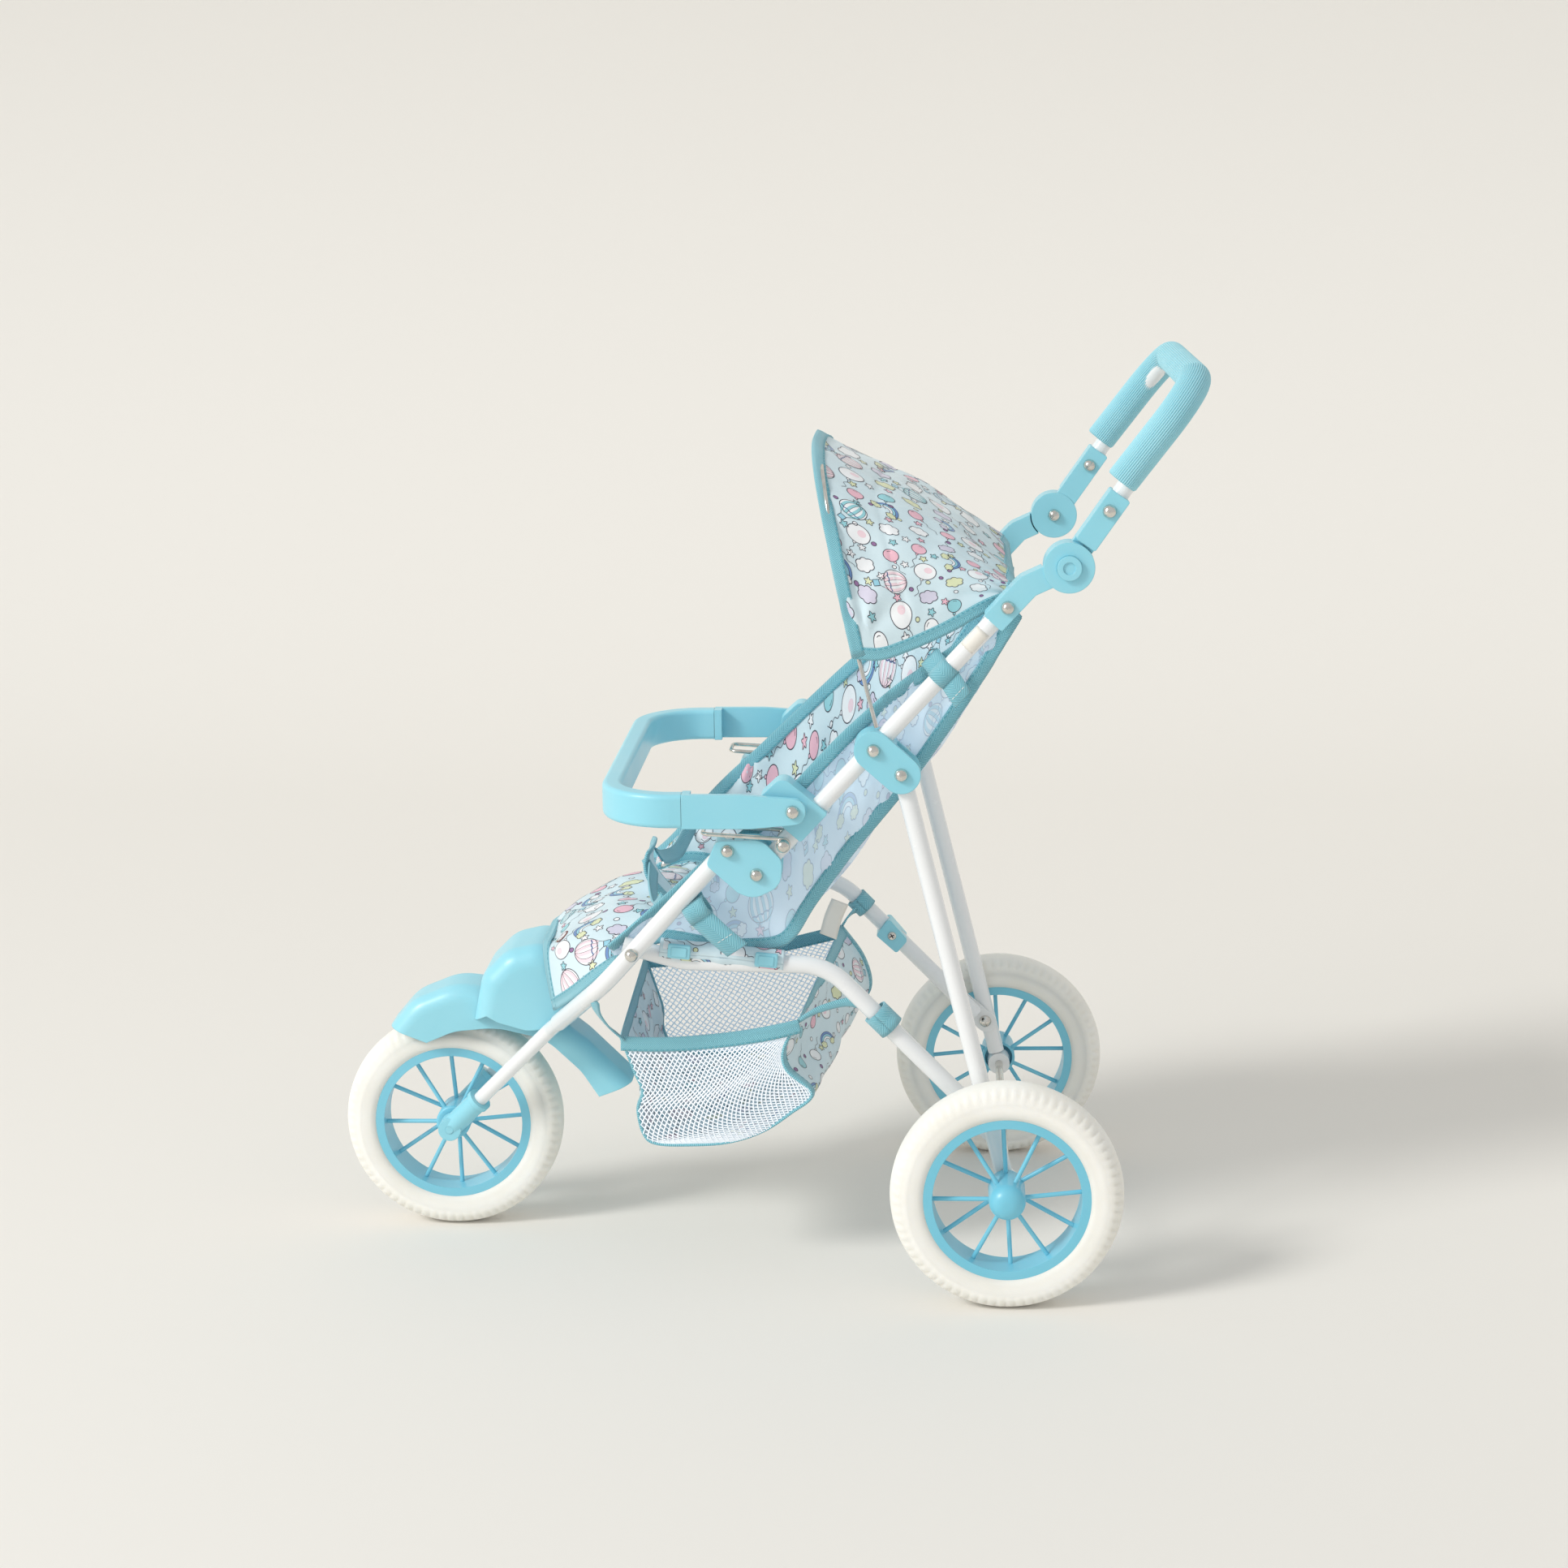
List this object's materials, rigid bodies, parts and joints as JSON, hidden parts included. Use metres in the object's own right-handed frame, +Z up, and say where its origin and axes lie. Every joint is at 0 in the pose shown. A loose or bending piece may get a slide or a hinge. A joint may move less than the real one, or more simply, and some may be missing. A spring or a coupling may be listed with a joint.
{
  "type": "doll stroller",
  "caption": "folding jogger-style doll stroller with a printed sling seat, canopy and basket, white tube frame and light blue plastic fittings",
  "frame": {"origin": "bottom centre of the bounding box, on the floor", "axes": "+Z up, -Y forward, +X the stroller's own left side"},
  "size_m": [0.36, 0.639, 0.6617],
  "materials": {
    "white_paint": "smooth glossy white paint over steel tube",
    "blue_plastic": "smooth light blue moulded plastic",
    "blue_rim": "smooth blue moulded plastic wheel",
    "foam_tyre": "dense ivory foam with a block tread",
    "foam_grip": "soft light blue foam grip with fine ribs",
    "steel": "bright plated steel rivets and rods",
    "printed_fabric": "pale blue woven polyester with a printed pattern"
  },
  "bodies": {
    "front_frame": {"front_tube_left": "white_paint", "front_tube_right": "white_paint", "fork_blade_left": "white_paint", "fork_blade_right": "white_paint", "fork_end_left": "blue_plastic", "fork_end_right": "blue_plastic", "front_axle": "steel", "front_fender": "blue_plastic", "footrest": "blue_plastic", "hinge_bracket_left": "blue_plastic", "hinge_bracket_right": "blue_plastic", "frame_rivets": "steel", "seat_bottom": "printed_fabric", "leg_flap": "printed_fabric", "seat_side_left": "printed_fabric", "seat_side_right": "printed_fabric"},
    "front_wheel": {"front_tyre": "foam_tyre", "front_wheel_rim": "blue_rim", "front_wheel_moulding": "blue_rim"},
    "upper_frame": {"upper_tube_left": "white_paint", "upper_tube_right": "white_paint", "armrest_bracket_left": "blue_plastic", "armrest_bracket_right": "blue_plastic", "leg_bracket_left": "blue_plastic", "leg_bracket_right": "blue_plastic", "handle_lower_arm_left": "blue_plastic", "handle_lower_arm_right": "blue_plastic", "upper_rivets": "steel", "disc_rivets": "steel", "canopy_bow": "steel", "canopy": "printed_fabric", "seat_back": "printed_fabric"},
    "handle": {"handle_upper_arm_left": "blue_plastic", "handle_upper_arm_right": "blue_plastic", "handle_tube": "white_paint", "handle_grip": "foam_grip", "handle_rivets": "steel"},
    "button_left": {"button_left": "blue_plastic"},
    "button_right": {"button_right": "blue_plastic"},
    "bumper": {"bumper_bar": "blue_plastic", "bumper_arm_left": "blue_plastic", "bumper_arm_right": "blue_plastic"},
    "rear_legs": {"rear_leg_left": "white_paint", "rear_leg_right": "white_paint", "axle_holders": "white_paint", "rear_axle": "steel"},
    "rear_wheel_left": {"rear_tyre_left": "foam_tyre", "rear_wheel_rim_left": "blue_rim", "rear_wheel_moulding_left": "blue_rim"},
    "rear_wheel_right": {"rear_tyre_right": "foam_tyre", "rear_wheel_rim_right": "blue_rim", "rear_wheel_moulding_right": "blue_rim"},
    "links": {"link_tube_left": "white_paint", "link_tube_right": "white_paint", "link_end_plates": "white_paint", "link_clip_right": "blue_plastic", "link_end_rivets": "steel", "basket": "printed_fabric"},
    "wire_lock_left": {"wire_lock_left": "steel"},
    "wire_lock_right": {"wire_lock_right": "steel"}
  },
  "joints": [
    {"name": "front_wheel_spin", "type": "hinge", "parent": "front_frame", "child": "front_wheel", "pos_m": [0, -0.237, 0.0825], "axis": [1, 0, 0], "continuous": true},
    {"name": "frame_fold", "type": "hinge", "parent": "front_frame", "child": "upper_frame", "pos_m": [0, 0.005, 0.311], "axis": [-1, 0, 0], "range_deg": [0, 80], "deforming": ["basket", "seat_back", "seat_bottom", "leg_flap", "seat_side_left", "seat_side_right", "canopy"]},
    {"name": "handle_turn", "type": "hinge", "parent": "upper_frame", "child": "handle", "pos_m": [0, 0.221, 0.526], "axis": [-1, 0, 0], "range_deg": [-30, 90]},
    {"name": "button_left_press", "type": "slide", "parent": "upper_frame", "child": "button_left", "axis": [-1, 0, 0], "range_m": [0, 0.0015], "stiffness_N_per_m": 400},
    {"name": "button_right_press", "type": "slide", "parent": "upper_frame", "child": "button_right", "axis": [1, 0, 0], "range_m": [0, 0.0015], "stiffness_N_per_m": 400},
    {"name": "bumper_lift", "type": "hinge", "parent": "upper_frame", "child": "bumper", "pos_m": [0, 0.031, 0.358], "axis": [-1, 0, 0], "range_deg": [0, 70]},
    {"name": "rear_legs_fold", "type": "hinge", "parent": "upper_frame", "child": "rear_legs", "pos_m": [0, 0.106, 0.382], "axis": [1, 0, 0], "range_deg": [0, 45]},
    {"name": "rear_wheel_left_spin", "type": "hinge", "parent": "rear_legs", "child": "rear_wheel_left", "pos_m": [0.155, 0.179, 0.0825], "axis": [1, 0, 0], "continuous": true},
    {"name": "rear_wheel_right_spin", "type": "hinge", "parent": "rear_legs", "child": "rear_wheel_right", "pos_m": [-0.155, 0.179, 0.0825], "axis": [1, 0, 0], "continuous": true},
    {"name": "links_fold", "type": "hinge", "parent": "front_frame", "child": "links", "pos_m": [0, -0.084, 0.252], "axis": [-1, 0, 0], "range_deg": [0, 50]},
    {"name": "wire_lock_left_lift", "type": "hinge", "parent": "upper_frame", "child": "wire_lock_left", "pos_m": [0.133, 0.024, 0.333], "axis": [-1, 0, 0], "range_deg": [0, 5]},
    {"name": "wire_lock_right_lift", "type": "hinge", "parent": "upper_frame", "child": "wire_lock_right", "pos_m": [-0.133, 0.024, 0.333], "axis": [-1, 0, 0], "range_deg": [0, 5]}
  ],
  "couplings": [
    {"joint": "rear_legs_fold", "follows": "frame_fold", "ratio": 0.5437},
    {"joint": "links_fold", "follows": "frame_fold", "ratio": 0.6026}
  ]
}
